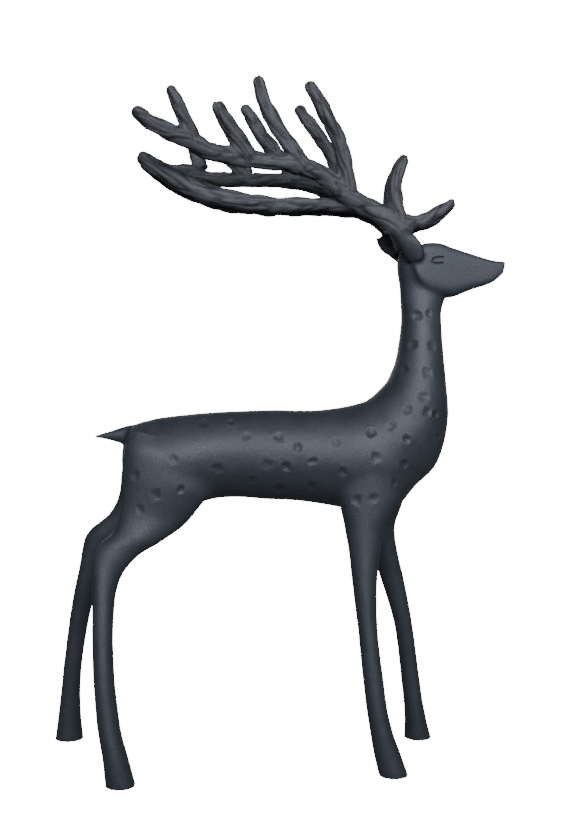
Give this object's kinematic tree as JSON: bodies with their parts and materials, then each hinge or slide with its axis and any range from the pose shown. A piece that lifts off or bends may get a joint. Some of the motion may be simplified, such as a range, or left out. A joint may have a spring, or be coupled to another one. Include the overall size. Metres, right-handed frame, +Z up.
{
  "type": "stag statue",
  "caption": "Stylised walking stag statue in dark cast iron, with twig-like antlers swept back, closed eyes and a smooth body with shallow hammered dimples.",
  "frame": {"origin": "on the ground plane, below the middle of the figure's length and width", "axes": "+X towards the nose, +Y towards the stag's left side, +Z up"},
  "size_m": [0.347, 0.1236, 0.5012],
  "materials": {
    "cast_iron": "matte to satin dark charcoal, fine cast grain, faint blue-grey tint"
  },
  "bodies": {
    "root": {"stag": "cast_iron"}
  },
  "joints": []
}
